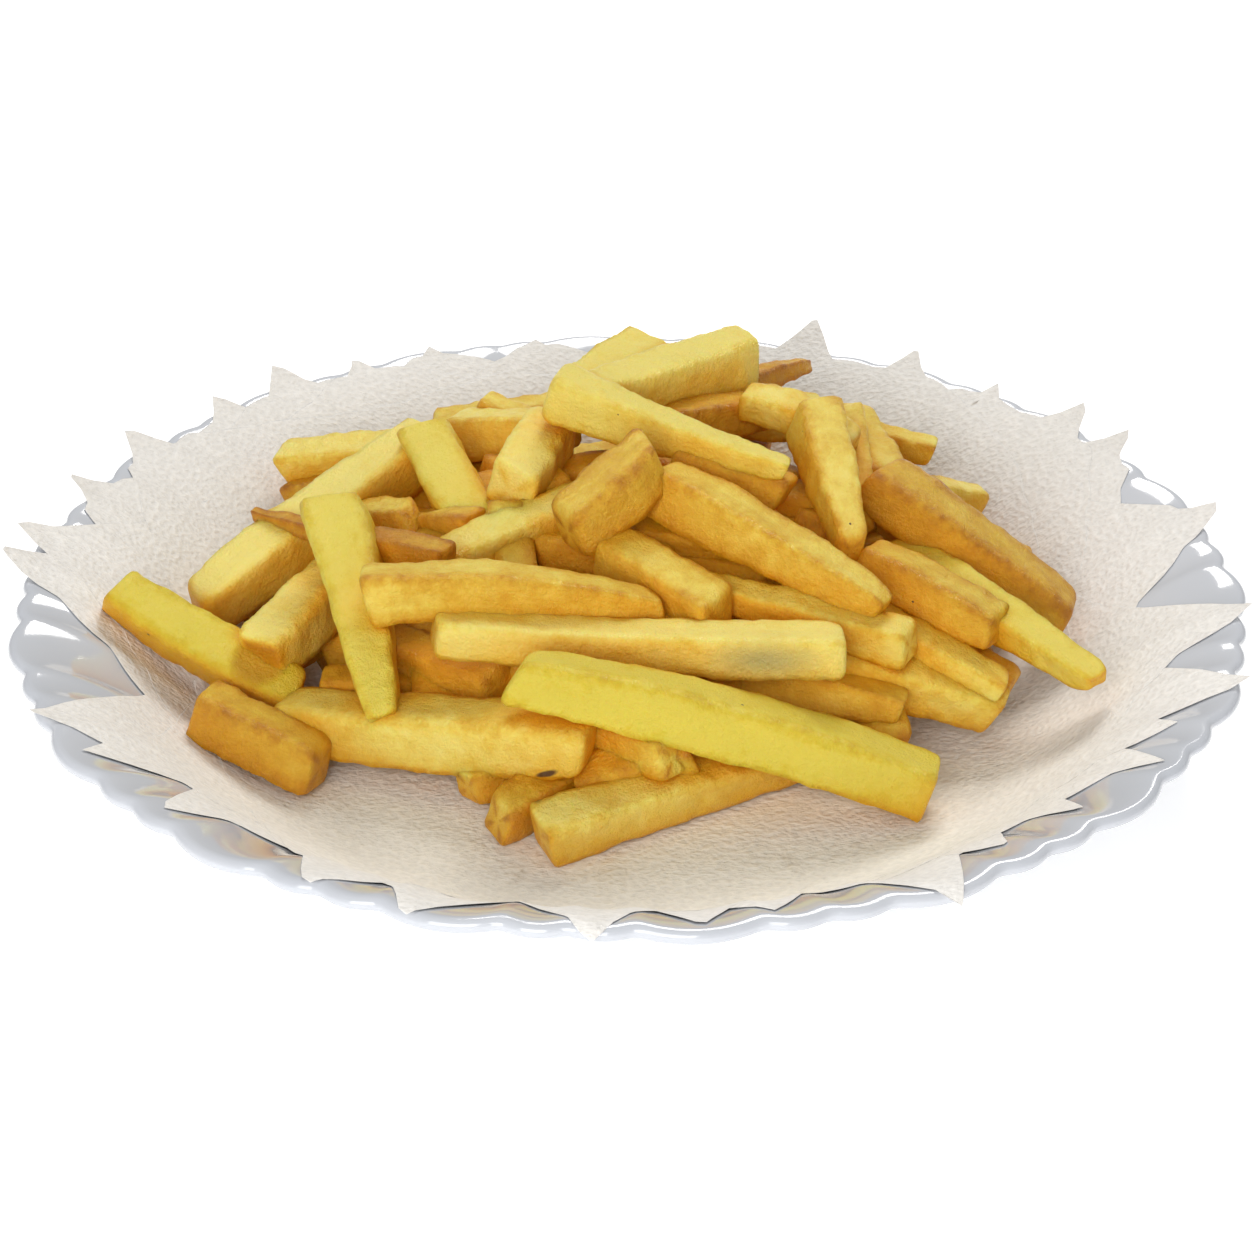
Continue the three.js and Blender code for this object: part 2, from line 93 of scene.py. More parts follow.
# Fries: the same ends as in the CAD model, then how brown each is, or below 0 how lemon, and how far it
# is rolled, in degrees.
# (x, y, z, x, y, z, width, start share, end share, bow, tone, roll)
FRONT_FRIES = [
    (-101, -5, 33, -65, -18, 15, 12, 0.8, 1, 0, -1.0, 20),
    (-76, 58, 30, -43, 53, 35, 10.5, 1, 1, 0, 0.22, 0),
    (-75, 54, 25, -56, 48, 29, 8, 1, 1, 0, 0.7, 0),
    (-82, -28, 20, -58, -39, 14, 11, 0.9, 1, 0, 0.55, -15),
    (-16, -61, 13, 35, -33, 13, 10, 1, 0.7, 1, 0.2, 5),
    (-30, -45, 13, -13, -30, 15, 8.5, 1, 1, 0, 0.4, 0),
    (-24, -56, 13, -6, -36, 13, 9, 1, 1, 0, 0.5, 0),
    (10, -38, 21, 11, -15, 18, 8, 1, 1, 0, 0.35, 0),
    (-9, -47, 15, 11, -45, 21, 8, 1, 1, 0, 0.5, 10),
    (-11, -35, 21, 8, -50, 23, 8.5, 1, 1, 0, 0.42, 0),
    (-60, -17, 17, -14, -19, 19, 9, 1, 1, 0, 0.45, 0),
    (-70, 24, 22, -52, 18, 26, 8, 1, 1, 0, 0.6, 0),
    (-48, -12, 24, -25, -25, 23, 9, 1, 1, 0, 0.5, 0),
    (-33, 62, 42, -15, 54, 38, 8, 1, 1, 0, 0.35, 0),
    (-38, 54, 39, -12, 41, 46, 9.5, 1, 1, 0, 0.25, 0),
    (13, 48, 48, 40, 77, 46, 6, 1, 0.5, 1, 0.7, 0),
    (8, 36, 50, 29, 51, 47, 8, 1, 1, 0, 0.6, 0),
    (46, 60, 38, 66, 52, 36, 7.5, 1, 0.8, 0, 0.3, 0),
    (48, 32, 35, 77, 18, 17, 9, 1, 0.9, 0, 0.65, 0),
    (43, 1, 29, 74, -19, 19, 8.5, 1, 0.9, 0, 0.45, 0),
    (54, 12, 31, 88, -30, 27, 9.5, 1, 0.55, 1, -0.7, 10),
    (9, 17, 50, 31, 10, 46, 8, 1, 1, 0, 0.5, 0),
    (-88, 6, 22, -43, 46, 41, 12, 1, 1, 0, 0.08, 0),
    (-43, 40, 45, -29, 12, 33, 12, 1, 0.9, 0, -0.7, 10),
    (-12, 50, 50, 5, 72, 51, 11, 1, 1, 0, -0.3, 0),
    (-8, 33, 55, 26, 62, 54, 12, 1, 1, 0, -0.3, 0),
    (48, 58, 42, 53, 29, 40, 8.5, 1, 1, 0, 0.35, 0),
    (46, 48, 47, 46, 14, 38, 8, 1, 1, 0, 0.3, 0),
    (24, 43, 52, 46, 29, 48, 8.5, 1, 0.9, 2, 0.28, 0),
    (-49, 25, 31, -31, 11, 39, 9, 1, 1, 0, 0.5, 0),
    (-59, 25, 32, -44, 16, 38, 8, 1, 1, 0, 0.4, 0),
    (27, -16, 28, 71, -24, 17, 11, 1, 0.75, 0, 0.25, 0),
    (33, -4, 33, 71, -25, 22, 8.5, 1, 0.9, 0, 0.3, 0),
    (13, -10, 37, 53, -24, 31, 8.5, 0.6, 1, 0, 0.25, 0),
    (-5, -1, 40, 17, -21, 35, 10.5, 1, 1, 1, 0.35, 0),
    (1, 5, 39, 24, 4, 37, 9, 1, 1, 0, 0.45, 0),
    (-38, 0, 36, -3, 18, 43, 9, 1, 1, 0, 0.22, 0),
    (18, -22, 25, 52, -29, 21, 8.5, 1, 0.8, 0, 0.4, 0),
    (46, -1, 38, 71, -16, 30, 9.5, 1, 1, 0, 0.5, 0),
    (-78, 24, 35, -36, -7, 40, 7, 0.4, 1.1, 0, 0.78, 0),
    (-24, 14, 45, -16, 38, 48, 11, 1, 1, 0, 0.08, 10),
    (-71, -17, 24, -59, 8, 28, 11, 1, 1, 0, 0.1, 0),
    (-66, -25, 15, -7, -46, 23, 12, 0.95, 1, 0, 0.25, 0),
    (-58, 6, 44, -46, -37, 23, 12, 1, 0.55, 0, -0.8, 0),
    (-50, -20, 40, 6, -20, 38, 10.5, 1, 0.45, 2, 0.42, 0),
    (49, 19, 45, 88, 3, 21, 12.5, 1, 0.95, 1, 0.6, 0),
    (37, 32, 54, 43, -4, 41, 10.5, 1, 0.6, 1, 0.38, 0),
    (4, 8, 50, 48, -20, 37, 10.5, 1, 0.55, 1, 0.44, 0),
    (-37, -25, 35, 40, -30, 34, 10, 0.9, 1, -1, 0.1, 0),
    (-21, -43, 36, 56, -46, 14, 11.5, 0.8, 0.9, 2, -0.95, 0),
    (-12, -4, 45, 5, 6, 57, 10, 1, 1, 0, 0.55, 0),
    (-16, 31, 60, 31, 8, 53, 12, 0.95, 0.35, -1, -0.4, 0),
]
BACK_FRIES = [
    (-54, 66, 19, -2, 83, 18, 9.5, 1, 0.9, 1, 0.3, 0),
    (4, 80, 17, 56, 62, 17, 10, 0.9, 1, 0, 0.15, 0),
    (58, 58, 17, 83, 26, 22, 9.5, 1, 0.8, 0, 0.4, 0),
    (-60, 40, 20, -34, 58, 28, 9.5, 1, 1, 0, 0.5, 0),
    (-30, 88, 24, -16, 53, 32, 9.5, 0.7, 1, 0, 0.2, 0),
    (8, 93, 27, 3, 62, 32, 10, 1, 1, 0, 0.35, 0),
    (30, 88, 24, 24, 58, 30, 9, 0.8, 1, 1, 0.6, 0),
    (52, 75, 25, 42, 50, 33, 10, 1, 1, 0, 0.25, 0),
    (76, 48, 25, 58, 42, 30, 9.5, 0.9, 1, 0, 0.3, 0),
    (-8, 60, 42, 42, 62, 40, 9.5, 1, 1, 0, 0.2, 0),
    (-44, 64, 35, 12, 76, 38, 9, 0.9, 0.7, 1, 0.35, 0),
    (2, 78, 38, 54, 60, 37, 9, 1, 0.8, 1, 0.15, 0),
]
HEAP_X = 2
HEAP_Y = 20
HEAP_RADIUS_X = 88
HEAP_RADIUS_Y = 62
HEAP_LOW = 11.5
HEAP_RISE = 46
HEAP_POWER = 0.75
CORE_BASE = 8.4
CORE_DEPTH = 27
CORE_SHARE = 0.78
GOLDEN_ANGLE = 137.5
UNDER = {"count": 12, "share": 0.7, "depth": 13}
DEEP = {"count": 26, "share": 0.8, "depth": 19}
SEED = 11

# Marks: the middle, in millimetres, the radii of an oval, and its turn in degrees
# A broad warm tint on the paper round the heap: part oil stain, part painted bounce light from the fries.
OIL_AND_BOUNCE = ((5, -25, 8), (95, 75, 200), (0, 0, 0))
DARK_MARK = ((-15.5, -53, 19), (3.2, 6, 0.9), (0, 25, 0))
GREEN_PATCH = ((25, -34, 34), (12, 7, 5), (0, 0, 0))
BROWN_END = ((-71.5, -19, 25), (6.5, 6, 5), (0, 0, 0))
LEMON_TONE = 0.1
# What deep gaps between the fries take on from the light that fries throw on each other
GLOW = {"share": 0.85, "colour": (0.95, 0.43, 0.008)}
SPECK = {"scale": 0.12, "radius": 0.3, "share": 0.25}

# How finely a fry is modelled: rings along it and points round it
FINE = (54, 22)
COARSE = (24, 14)
# A fry's rounded end: the distance from the end, as a share of its rounding, and the size there
CAP = [(0, 0.35), (0.0, 0.66), (0.08, 0.8), (0.25, 0.89), (0.55, 0.96), (1, 1)]


# Mesh helpers

def loft(rings, first, last):
    """Points and faces of a closed surface through rings of equal length, from one pole to the other."""
    count, sides = rings.shape[:2]
    points = np.concatenate([[first], rings.reshape(-1, 3), [last]])
    ring = lambda k: 1 + k * sides + np.arange(sides)
    faces = []
    for k in range(count - 1):
        a, b = ring(k), ring(k + 1)
        faces += np.stack([a, np.roll(a, -1), np.roll(b, -1), b], axis=1).tolist()
    inner, outer = ring(0), ring(count - 1)
    faces += [[0, b, a] for a, b in zip(inner, np.roll(inner, -1))]
    faces += [[len(points) - 1, a, b] for a, b in zip(outer, np.roll(outer, -1))]
    return points, faces


def piece(name, lofts, material, looks=None):
    """One object from one or more lofts, its faces pointing out. Lofts are in millimetres."""
    points, faces = [], []
    for loft_points, loft_faces in lofts:
        start = sum(len(p) for p in points)
        triangles = np.array([[f[0], f[1], f[2]] for f in loft_faces]
                             + [[f[0], f[2], f[3]] for f in loft_faces if len(f) == 4], dtype=int)
        a, b, c = (loft_points[triangles[:, n]] for n in range(3))
        inside_out = np.sum(np.cross(a, b) * c) < 0
        faces += [[start + n for n in (reversed(f) if inside_out else f)] for f in loft_faces]
        points.append(loft_points)
    mesh = bpy.data.meshes.new(name)
    mesh.from_pydata((np.concatenate(points) * MM).tolist(), [], faces)
    mesh.shade_smooth()
    for key, values in (looks or {}).items():
        kind = "FLOAT_COLOR" if values.shape[1] == 4 else "FLOAT_VECTOR"
        field = "color" if values.shape[1] == 4 else "vector"
        attribute = mesh.attributes.new(key, kind, "POINT")
        attribute.data.foreach_set(field, values.astype(np.float32).ravel())
    mesh.materials.append(material)
    obj = bpy.data.objects.new(name, mesh)
    bpy.context.scene.collection.objects.link(obj)
    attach(obj, "root")
    return obj


def smoothstep(x):
    x = np.clip(x, 0, 1)
    return x * x * (3 - 2 * x)


# Node helpers

class Nodes:
    """A material's node tree, with short calls for the nodes it is made of."""

    def __init__(self, name):
        self.material = bpy.data.materials.new(name)
        self.material.use_nodes = True
        self.tree = self.material.node_tree
        self.shader = self.tree.nodes["Principled BSDF"]

    def add(self, kind, inputs=(), **settings):
        node = self.tree.nodes.new("ShaderNode" + kind)
        for key, value in settings.items():
            setattr(node, key, value)
        for key, value in dict(inputs).items():
            self.put(node.inputs[key], value)
        return node

    def put(self, socket, value):
        if isinstance(value, bpy.types.NodeSocket):
            self.tree.links.new(value, socket)
        else:
            socket.default_value = value

    def math(self, operation, a, b=0.0, clamp=False):
        node = self.add("Math", operation=operation, use_clamp=clamp)
        self.put(node.inputs[0], a)
        self.put(node.inputs[1], b)
        return node.outputs[0]

    def noise(self, vector, scale, detail=2.0, roughness=0.5):
        node = self.add("TexNoise", {"Vector": vector, "Scale": scale, "Detail": detail, "Roughness": roughness})
        return node.outputs["Fac"]

    def ramp(self, value, stops):
        node = self.add("ValToRGB", {"Fac": value})
        elements = node.color_ramp.elements
        while len(elements) < len(stops):
            elements.new(0.5)
        for element, (place, colour) in zip(elements, stops):
            element.position = place
            element.color = (*colour, 1) if isinstance(colour, tuple) else (colour, colour, colour, 1)
        return node.outputs["Color"]

    def mix(self, share, a, b, blend="MIX"):
        node = self.add("Mix", data_type="RGBA", blend_type=blend)
        self.put(node.inputs["Factor"], share)
        self.put(node.inputs[6], a)
        self.put(node.inputs[7], b)
        return node.outputs[2]

    def bump(self, height, strength, distance, normal=None):
        inputs = {"Height": height, "Strength": strength, "Distance": distance}
        if normal is not None:
            inputs["Normal"] = normal
        return self.add("Bump", inputs).outputs["Normal"]

    def shade(self, **inputs):
        for key, value in inputs.items():
            self.put(self.shader.inputs[key.replace("_", " ")], value)
        return self.material


# Materials

def porcelain():
    n = Nodes("porcelain")
    place = n.add("TexCoord").outputs["Object"]
    tint = n.ramp(n.noise(place, 35, 2), [(0.3, (0.54, 0.56, 0.60)), (0.7, (0.58, 0.595, 0.63))])
    glaze = n.bump(n.noise(place, 60, 1), 0.15, 0.0006)
    n.shade(Base_Color=tint, Roughness=0.1, IOR=1.5, Normal=glaze)
    n.shade(Coat_Weight=0.3, Coat_Roughness=0.04)
    return n.material


def tissue():
    n = Nodes("tissue")
    place = n.add("TexCoord").outputs["Object"]
    crepe = n.add("Mapping", {"Vector": place, "Scale": (1, 2.0, 1)}).outputs[0]
    fibre = n.noise(crepe, 800, 3, 0.6)
    dots = n.add("TexVoronoi", {"Vector": place, "Scale": 850}, feature="SMOOTH_F1").outputs["Distance"]
    height = n.math("ADD", n.math("MULTIPLY", fibre, 0.9), n.math("MULTIPLY", dots, 0.8))
    cloud = n.noise(place, 26, 2)
    tint = n.ramp(cloud, [(0.3, (0.90, 0.87, 0.82)), (0.7, (0.94, 0.91, 0.865))])
    # Painted shade: the paper is drawn darker towards the back of the plate.
    depth = n.add("SeparateXYZ", {"Vector": place}).outputs["Y"]
    tint = n.mix(1.0, tint, n.ramp(n.math("ADD", n.math("MULTIPLY", depth, 5), 0.5), [
        (0.1, 1.0), (0.75, 0.83),
    ]), "MULTIPLY")
    # Part oil stain, part painted bounce light: the paper round the heap is tinted warm yellow.
    oil_and_bounce = n.math("MULTIPLY", spot(n, place, *OIL_AND_BOUNCE), 1.6, clamp=True)
    tint = n.mix(n.math("MULTIPLY", oil_and_bounce, 0.6), tint, (0.96, 0.89, 0.72, 1))
    speckle = n.ramp(n.math("ADD", n.math("MULTIPLY", fibre, 0.6), n.math("MULTIPLY", dots, 0.5)),
                     [(0.4, 0.93), (0.7, 1.04)])
    colour = n.mix(1.0, tint, speckle, "MULTIPLY")
    n.shade(Base_Color=colour, Roughness=0.9, Normal=n.bump(height, 0.6, 0.0007))
    n.shade(Sheen_Weight=0.1, Sheen_Roughness=0.6, Specular_IOR_Level=0.2)
    return n.material


def spot(n, place, centre, radii, turn):
    """1 at a named point of the heap, in millimetres, falling to 0 at the radii of a turned oval."""
    mapping = n.add("Mapping", {"Vector": place, "Location": [-c * MM for c in centre]})
    turned = n.add("Mapping", {"Vector": mapping.outputs[0], "Rotation": [math.radians(t) for t in turn]})
    scaled = n.add("VectorMath", operation="DIVIDE")
    n.put(scaled.inputs[0], turned.outputs[0])
    n.put(scaled.inputs[1], [r * MM for r in radii])
    distance = n.add("VectorMath", operation="LENGTH")
    n.put(distance.inputs[0], scaled.outputs[0])
    return n.math("SUBTRACT", 1.0, distance.outputs["Value"], clamp=True)


def centred(n, value, amount):
    """A noise value round zero, scaled."""
    return n.math("MULTIPLY", n.math("SUBTRACT", value, 0.5), amount)


def fried_potato():
    n = Nodes("fried_potato")
    look = n.add("Attribute", attribute_name="look")
    parts = n.add("SeparateColor", {"Color": look.outputs["Color"]}).outputs
    tone, edge, end = parts[0], parts[1], parts[2]
    lemon = look.outputs["Alpha"]
    place = n.add("TexCoord").outputs["Object"]
    grain = n.add("Attribute", attribute_name="grain").outputs["Vector"]
    along = n.add("Mapping", {"Vector": grain, "Scale": (0.12, 1, 1)}).outputs[0]
    patches = n.noise(grain, 0.13, 3, 0.6)
    blotches = n.noise(grain, 0.4, 3, 0.6)
    streaks = n.noise(along, 1.1, 3, 0.55)
    crust = n.noise(grain, 1.9, 4, 0.7)
    cells = n.add("TexVoronoi", {"Vector": grain, "Scale": 1.1}, feature="SMOOTH_F1").outputs["Distance"]
    # Ambient-occlusion lookup: crevice_shade is near 1 deep in the gaps between fries and 0 in the open.
    shut = n.add("AmbientOcclusion", {"Distance": 0.014}, samples=6).outputs["AO"]
    crevice_shade = n.math("SUBTRACT", 1.0, shut)
    fried = n.math("ADD", tone, centred(n, patches, 0.55))
    fried = n.math("ADD", fried, centred(n, blotches, 0.4))
    fried = n.math("ADD", fried, centred(n, streaks, 0.12))
    fried = n.math("ADD", fried, centred(n, crust, 0.3))
    worn = n.math("MULTIPLY", edge, n.math("MULTIPLY", blotches, n.math("ADD", tone, 0.25)))
    fried = n.math("ADD", fried, n.math("MULTIPLY", worn, 0.7))
    fried = n.math("ADD", fried, n.math("MULTIPLY", n.math("MULTIPLY", end, edge), 0.25))
    # Painted shade: places the occlusion lookup finds shut in are drawn browner.
    fried = n.math("ADD", fried, n.math("MULTIPLY", crevice_shade, 0.6))
    fried = n.math("SUBTRACT", fried, 0.16)
    fried = n.math("ADD", fried, n.math("MULTIPLY", spot(n, place, *BROWN_END), 1.6))
    golden = n.ramp(fried, [
        (0.0, (0.92, 0.77, 0.20)),
        (0.2, (0.86, 0.66, 0.11)),
        (0.4, (0.75, 0.475, 0.042)),
        (0.6, (0.63, 0.33, 0.018)),
        (0.8, (0.50, 0.215, 0.01)),
        (1.0, (0.34, 0.12, 0.006)),
    ])
    zest = n.ramp(n.math("ADD", fried, n.math("MULTIPLY", worn, 0.6)), [
        (0.0, (0.76, 0.62, 0.07)),
        (0.14, (0.71, 0.55, 0.03)),
        (0.32, (0.64, 0.455, 0.02)),
        (0.6, (0.56, 0.32, 0.015)),
    ])
    fresh = n.mix(lemon, golden, zest)
    # Painted bounce light: deep gaps are mixed towards GLOW's orange.
    glow = n.math("MULTIPLY", crevice_shade, GLOW["share"], clamp=True)
    fresh = n.mix(glow, fresh, (*GLOW["colour"], 1))
    green = n.mix(n.math("MULTIPLY", spot(n, place, *GREEN_PATCH), 1.2, clamp=True), fresh, (0.56, 0.46, 0.15, 1))
    scorch = n.math("MULTIPLY", spot(n, place, *DARK_MARK), 4.0, clamp=True)
    speck = n.add("TexVoronoi", {"Vector": grain, "Scale": SPECK["scale"]})
    dot = n.math("LESS_THAN", speck.outputs["Distance"], SPECK["radius"] * SPECK["scale"])
    chosen = n.add("SeparateColor", {"Color": speck.outputs["Color"]}).outputs[0]
    dot = n.math("MULTIPLY", dot, n.math("LESS_THAN", chosen, SPECK["share"]))
    colour = n.mix(n.math("MAXIMUM", scorch, dot), green, (0.12, 0.06, 0.02, 1))
    rough = n.ramp(crust, [(0.35, 0.26), (0.65, 0.5)])
    height = n.math("ADD", n.math("MULTIPLY", crust, 1.0), n.math("MULTIPLY", blotches, 1.0))
    height = n.math("ADD", height, n.math("MULTIPLY", streaks, 0.2))
    height = n.math("ADD", height, n.math("MULTIPLY", cells, 0.4))
    n.shade(Base_Color=colour, Roughness=rough, Normal=n.bump(height, 0.7, 0.0008))
    n.shade(Subsurface_Weight=0.35, Subsurface_Radius=(1.0, 0.5, 0.1), Subsurface_Scale=0.004)
    n.shade(Specular_IOR_Level=0.4)
    return n.material


def floor_paint():
    n = Nodes("floor_paint")
    place = n.add("TexCoord").outputs["Object"]
    tint = n.ramp(n.noise(place, 3, 2), [(0.3, 0.88), (0.7, 0.90)])
    n.shade(Base_Color=tint, Roughness=0.8, Emission_Color=(1, 1, 1, 1), Emission_Strength=0.4)
    return n.material


# Plate

def notch(angle):
    """How far the scalloped wall lies inside its widest circle, its ridges a little rounded."""
    total = 0
    steps = np.linspace(-RIDGE_SOFTNESS, RIDGE_SOFTNESS, 7)
    for step in steps:
        turn = angle + step - RIM_PHASE + RIM_PERIOD / 2
        offset = np.abs(turn - RIM_PERIOD * np.floor(turn / RIM_PERIOD) - RIM_PERIOD / 2)
        wide = WIDE_DEPTH * (offset / WIDE_HALF) ** 2
        narrow = WIDE_DEPTH - NARROW_DEPTH * (1 - ((offset - NARROW_MIDDLE) / NARROW_HALF) ** 2)
        total = total + np.where(offset <= WIDE_HALF, wide, narrow)
    return total / len(steps)


def scallop_at(r):
    return np.clip((r - FLOOR_RADIUS) / (RIM_R - FLOOR_RADIUS), 0, 1)


def plate_height(r):
    """Height of the plate's upper face, its bends rounded."""
    radii, heights = zip(*UPPER_FACE, PAST_LIP)
    steps = np.linspace(-FILLET, FILLET, 9)
    return sum(np.interp(r + step, radii, heights) for step in steps) / len(steps)


def place_on_rings(angle, r, z, scallop, span=0.0):
    """Points on scalloped rings. A span of 0 follows every flute, and 1 lies on the ridges alone."""
    depth = notch(angle) * (1 - span) + FLUTE_TOP * span
    radius = r - scallop * depth
    turn = np.radians(angle)
    return np.stack([radius * np.cos(turn), radius * np.sin(turn), z + 0 * turn], axis=-1)


def plate(material):
    angles = np.arange(0, 360, 0.5)
    foot = [
        (20, FLOOR_UNDER, 0), (45, FLOOR_UNDER, 0), (62, FLOOR_UNDER, 0), (64.5, 2.3, 0), (65.6, 0.5, 0),
        (66.3, 0, 0), (69.4, 0, 0), (70.4, 0.4, 0),
    ]
    under = []
    for r in np.linspace(74, 117, 15):
        drop = np.interp(r, [104, RIM_R], [WALL_DROP, 2 * LIP_HALF])
        under.append((r, max(plate_height(r) - drop, 1.6), scallop_at(r)))
    lip_z = plate_height(RIM_R) - LIP_HALF
    lip = [
        (RIM_R + LIP_HALF * math.cos(a), lip_z + LIP_HALF * math.sin(a), 0.9 - 0.1 * math.cos(a))
        for a in np.radians(np.linspace(-80, 80, 9))
    ]
    wall = [(r, plate_height(r), scallop_at(r)) for r in np.linspace(RIM_R - 0.6, 70, 34)]
    floor = [(r, FLOOR_TOP, 0) for r in (62, 45, 28, 12)]
    rings = np.array([place_on_rings(angles, r, z, s) for r, z, s in foot + under + lip + wall + floor])
    obj = piece("plate_body", [loft(rings, (0, 0, FLOOR_UNDER), (0, 0, FLOOR_TOP))], material)
    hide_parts("plate")
    return obj


# Paper

REACH_STEP = 1.0
PAPER_ANGLES = np.arange(0, 360, 0.5)
PAPER_REACHES = np.arange(0, 150, REACH_STEP)
PAST_RIM = np.linspace(0, 24, 49)
FACE_R = np.linspace(0, RIM_R, 300)
FACE_REACH = np.concatenate([[0], np.cumsum(np.hypot(np.diff(FACE_R), np.diff(plate_height(FACE_R))))])
RIM_REACH = FACE_REACH[-1]
RIDGES = [
    (RIM_PHASE + RIM_PERIOD * k + offset) % 360
    for k in range(round(360 / RIM_PERIOD)) for offset in (-WIDE_HALF, WIDE_HALF, RIM_PERIOD / 2)
]


def past_rim(slopes):
    """How far out and up the paper has gone at each step past the rim."""
    step = PAST_RIM[1]
    turn = np.radians(slopes)
    out = np.concatenate([[0], np.cumsum(np.cos(turn) * step)[:-1]])
    up = np.concatenate([[0], np.cumsum(np.sin(turn) * step)[:-1]])
    return out, up


STANDING = past_rim(np.full(PAST_RIM.shape, PAPER_RISE))
HANGING = past_rim(np.interp(PAST_RIM, [0, 1, 6], [15, 0, -75]))


def paper_point(angle, reach, over, lift, span):
    inside = np.minimum(reach, RIM_REACH)
    r = np.interp(inside, FACE_REACH, FACE_R)
    z = plate_height(r)
    past = np.maximum(reach - RIM_REACH, 0)
    out, up = [
        np.where(over > 0, np.interp(past, PAST_RIM, hang), np.interp(past, PAST_RIM, stand))
        for hang, stand in zip(HANGING, STANDING)
    ]
    return place_on_rings(angle, r + out, z + up + lift, scallop_at(r), span)


def outline_reach(corners, angle):
    """How far a four-cornered napkin reaches at an angle, and whether that corner hangs over the rim.

    The wall's pleats draw its sides in, and its corners narrower than square. Round the back the
    paper fills the plate out to its rim, and only the tips of the corners stand past it."""
    reach = np.zeros_like(angle, dtype=float)
    over = np.zeros_like(reach)
    for (a, ra, over_a), (b, rb, over_b) in zip(corners, corners[1:] + corners[:1]):
        span = (b - a) % 360
        turn = (angle - a) % 360
        here = turn < span
        pa = np.array([ra, 0.0])
        pb = rb * np.array([math.cos(math.radians(span)), math.sin(math.radians(span))])
        along = pb - pa
        t = np.radians(turn)
        cross = pa[0] * along[1] - pa[1] * along[0]
        distance = cross / (np.cos(t) * along[1] - np.sin(t) * along[0])
        aside = np.minimum(turn, span - turn)
        tip = np.where(turn < span / 2, ra, rb)
        half = math.radians(CORNER_HALF)
        pleated = tip * math.sin(half) / np.sin(half + np.radians(aside))
        back = np.clip(SHOULDER_HALF["gain"] * np.sin(np.radians(angle)), 0, 1)
        wide = np.radians(SHOULDER_HALF["front"] + (SHOULDER_HALF["back"] - SHOULDER_HALF["front"]) * back)
        shoulder = tip * np.sin(wide) / np.sin(wide + np.radians(aside))
        pleated = np.maximum(pleated, np.minimum(shoulder, RIM_REACH - SHOULDER_HALF["short_of_rim"]))
        reach = np.where(here, np.maximum(distance * SIDE_DRAWN_IN, pleated), reach)
        over = np.where(here, np.where(turn < span / 2, over_a, over_b), over)
    return reach, over


def napkin_heights(corners, top, rng):
    """Lift of one napkin above the plate on the grid of angles and reaches, over those already laid."""
    angle = PAPER_ANGLES[:, None]
    reach = PAPER_REACHES[None, :]
    edge, _ = outline_reach(corners, PAPER_ANGLES)
    wish = FLOOR_LIFT + (WALL_LIFT - FLOOR_LIFT) * smoothstep((reach - 66) / 34) + 0 * angle
    front = 0.5 - 0.5 * np.sin(np.radians(angle))
    for middle, _, _ in corners:
        aside = np.abs((angle - middle + 540) % 360 - 180)
        curl = rng.uniform(0.0, 0.2) + rng.uniform(0.0, 0.5) * front
        wish = wish + curl * np.clip(1 - aside / rng.uniform(5, 9), 0, 1) * smoothstep((reach - 110) / 16)
    near_edge = np.exp(-np.clip(edge[:, None] - reach, 0, 99) / 5)
    wish = wish + rng.uniform(0.0, 0.2) * front * near_edge * smoothstep((reach - 90) / 20)
    least = top + PAPER_STEP
    height = np.maximum(wish, least)
    for _ in range(30):
        blurred = (np.roll(height, 1, 0) + np.roll(height, -1, 0)) / 4 + height / 2
        blurred[:, 1:-1] = (blurred[:, :-2] + blurred[:, 2:]) / 4 + blurred[:, 1:-1] / 2
        height = np.maximum(0.5 * blurred + 0.5 * np.minimum(height, np.maximum(wish, blurred)), least)
    inside = np.clip(edge[:, None] - reach, 0, None)
    height = least + (height - least) * (1 - PRESSED["share"] * np.exp(-inside / PRESSED["reach"]))
    covered = reach <= edge[:, None] + REACH_STEP
    return height, np.where(covered, height, top)


def napkin(name, corners, height, material):
    angles = np.sort(np.concatenate([np.arange(0, 360, 1.25), RIDGES, [c[0] + 0.3 for c in corners]]))
    edge, over = outline_reach(corners, angles)
    shares = [0.2, 0.42, 0.58, 0.66, 0.72, 0.77, 0.81, 0.85, 0.88, 0.905, 0.93, 0.95, 0.97, 0.985, 0.998, 1]

    def at(share, lift):
        reach = share * edge
        column = reach / REACH_STEP
        row = angles / 0.5
        i, j = np.floor(row).astype(int), np.floor(column).astype(int)
        fi, fj = row - i, column - j
        i1 = (i + 1) % len(PAPER_ANGLES)
        i = i % len(PAPER_ANGLES)
        low = height[i, j] * (1 - fi) + height[i1, j] * fi
        high = height[i, j + 1] * (1 - fi) + height[i1, j + 1] * fi
        return paper_point(angles, reach, over, low * (1 - fj) + high * fj + lift, PAPER_SPAN)

    under = [at(share, 0) for share in shares]
    upper = [at(share, PAPER_THICKNESS) for share in reversed(shares)]
    poles = [(0, 0, FLOOR_TOP + height[0, 0] + lift) for lift in (0, PAPER_THICKNESS)]
    obj = piece(name, [loft(np.array(under + upper), *poles)], material)
    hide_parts("liner")
    return obj


def paper(material):
    rng = np.random.default_rng(SEED)
    top = np.full((len(PAPER_ANGLES), len(PAPER_REACHES)), WALL_LIFT - PAPER_STEP)
    for number, corners in enumerate(SHEETS, 1):
        height, top = napkin_heights(corners, top, rng)
        napkin(f"napkin_{number}", corners, height, material)


# Fries

seed = SEED


def draw(low, high):
    """The CAD model's own random draw."""
    global seed
    seed = (seed * 16807) % 2147483647
    return low + (high - low) * (seed / 2147483647)


def dome_height(x, y):
    out = ((x - HEAP_X) / HEAP_RADIUS_X) ** 2 + ((y - HEAP_Y) / HEAP_RADIUS_Y) ** 2
    return HEAP_LOW + HEAP_RISE * max(0, 1 - out) ** HEAP_POWER


